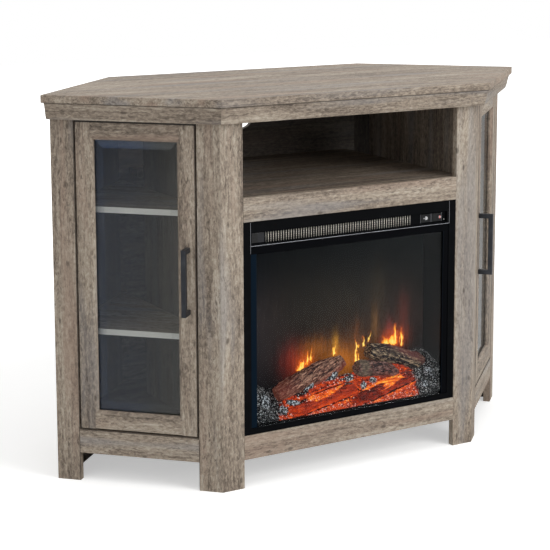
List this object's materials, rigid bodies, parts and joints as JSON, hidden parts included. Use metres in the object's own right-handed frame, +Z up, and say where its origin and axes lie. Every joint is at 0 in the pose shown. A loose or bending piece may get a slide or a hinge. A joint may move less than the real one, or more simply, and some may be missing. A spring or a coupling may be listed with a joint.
{
  "type": "corner fireplace tv stand",
  "caption": "Corner media cabinet with an angled glazed door on each side, an open bay, and an electric fire with a log set behind glass.",
  "frame": {"origin": "on the floor, under the middle of the top's bounding box", "axes": "+X to the right seen from the front, along the width; +Y from the front to the back; +Z up"},
  "size_m": [1.1934, 0.5358, 0.8128],
  "materials": {
    "oak": "grey-washed oak laminate with open grain",
    "dark_oak": "grey-brown laminated board",
    "door_glass": "tinted glass with a bevelled border",
    "fire_glass": "clear toughened glass with a dark printed border",
    "iron": "satin charcoal paint",
    "nickel": "nickel-plated pressed steel",
    "black_steel": "satin black powder coat",
    "wire": "drawn steel wire",
    "bright_metal": "polished metal foil and trim",
    "housing_steel": "matt black painted sheet steel",
    "black_plastic": "fine-textured black plastic",
    "switch": "glossy black rocker",
    "ember": "moulded resin painted as glowing embers and ash",
    "bark": "moulded resin painted as charred bark",
    "flame_screen": "smoked half-mirror acrylic"
  },
  "bodies": {
    "cabinet": {"top_slab": "oak", "front_crown": "oak", "left_crown": "oak", "right_crown": "oak", "left_front_post": "oak", "right_front_post": "oak", "left_far_post": "oak", "right_far_post": "oak", "front_lower_rail": "oak", "front_middle_rail": "oak", "left_lower_rail": "oak", "right_lower_rail": "oak", "bottom_deck": "oak", "media_shelf": "oak", "left_divider": "oak", "right_divider": "oak", "left_wall_panel": "oak", "right_wall_panel": "oak", "left_lower_shelf": "oak", "left_upper_shelf": "oak", "right_lower_shelf": "oak", "right_upper_shelf": "oak", "back_panel": "dark_oak", "left_lower_hinge_arm": "nickel", "left_upper_hinge_arm": "nickel", "left_catch": "black_plastic", "right_lower_hinge_arm": "nickel", "right_upper_hinge_arm": "nickel", "right_catch": "black_plastic", "fire_frame": "black_steel", "fire_glass": "fire_glass", "vent_grille": "wire", "fire_housing": "housing_steel", "flame_screen": "flame_screen", "ember_bed": "ember", "left_log": "bark", "center_log": "bark", "right_log": "bark", "spindle_motor": "housing_steel", "heater_duct": "housing_steel"},
    "left_door": {"left_door_hinge_stile": "oak", "left_door_handle_stile": "oak", "left_door_top_rail": "oak", "left_door_bottom_rail": "oak", "left_door_glass": "door_glass", "left_handle": "iron", "left_lower_hinge_cup": "nickel", "left_upper_hinge_cup": "nickel"},
    "right_door": {"right_door_hinge_stile": "oak", "right_door_handle_stile": "oak", "right_door_top_rail": "oak", "right_door_bottom_rail": "oak", "right_door_glass": "door_glass", "right_handle": "iron", "right_lower_hinge_cup": "nickel", "right_upper_hinge_cup": "nickel"},
    "heat_switch": {"heat_switch": "switch"},
    "power_switch": {"power_switch": "switch"},
    "flame_spindle": {"flame_spindle": "bright_metal"},
    "blower_wheel": {"blower_wheel": "black_plastic"}
  },
  "joints": [
    {"name": "left_door_hinge", "type": "hinge", "parent": "cabinet", "child": "left_door", "pos_m": [-0.53372, -0.0172, 0.437], "axis": [0, 0, -1], "range_deg": [0, 105]},
    {"name": "right_door_hinge", "type": "hinge", "parent": "cabinet", "child": "right_door", "pos_m": [0.53372, -0.0172, 0.437], "axis": [0, 0, 1], "range_deg": [0, 105]},
    {"name": "heat_switch_rock", "type": "hinge", "parent": "cabinet", "child": "heat_switch", "pos_m": [0.188, -0.22562, 0.522], "axis": [0, 0, 1], "range_deg": [0, 12]},
    {"name": "power_switch_rock", "type": "hinge", "parent": "cabinet", "child": "power_switch", "pos_m": [0.217, -0.22562, 0.522], "axis": [0, 0, 1], "range_deg": [0, 12]},
    {"name": "flame_spindle_spin", "type": "hinge", "parent": "cabinet", "child": "flame_spindle", "pos_m": [0, -0.08832, 0.1528], "axis": [1, 0, 0], "continuous": true},
    {"name": "blower_wheel_spin", "type": "hinge", "parent": "cabinet", "child": "blower_wheel", "pos_m": [0, -0.17832, 0.522], "axis": [1, 0, 0], "continuous": true}
  ]
}
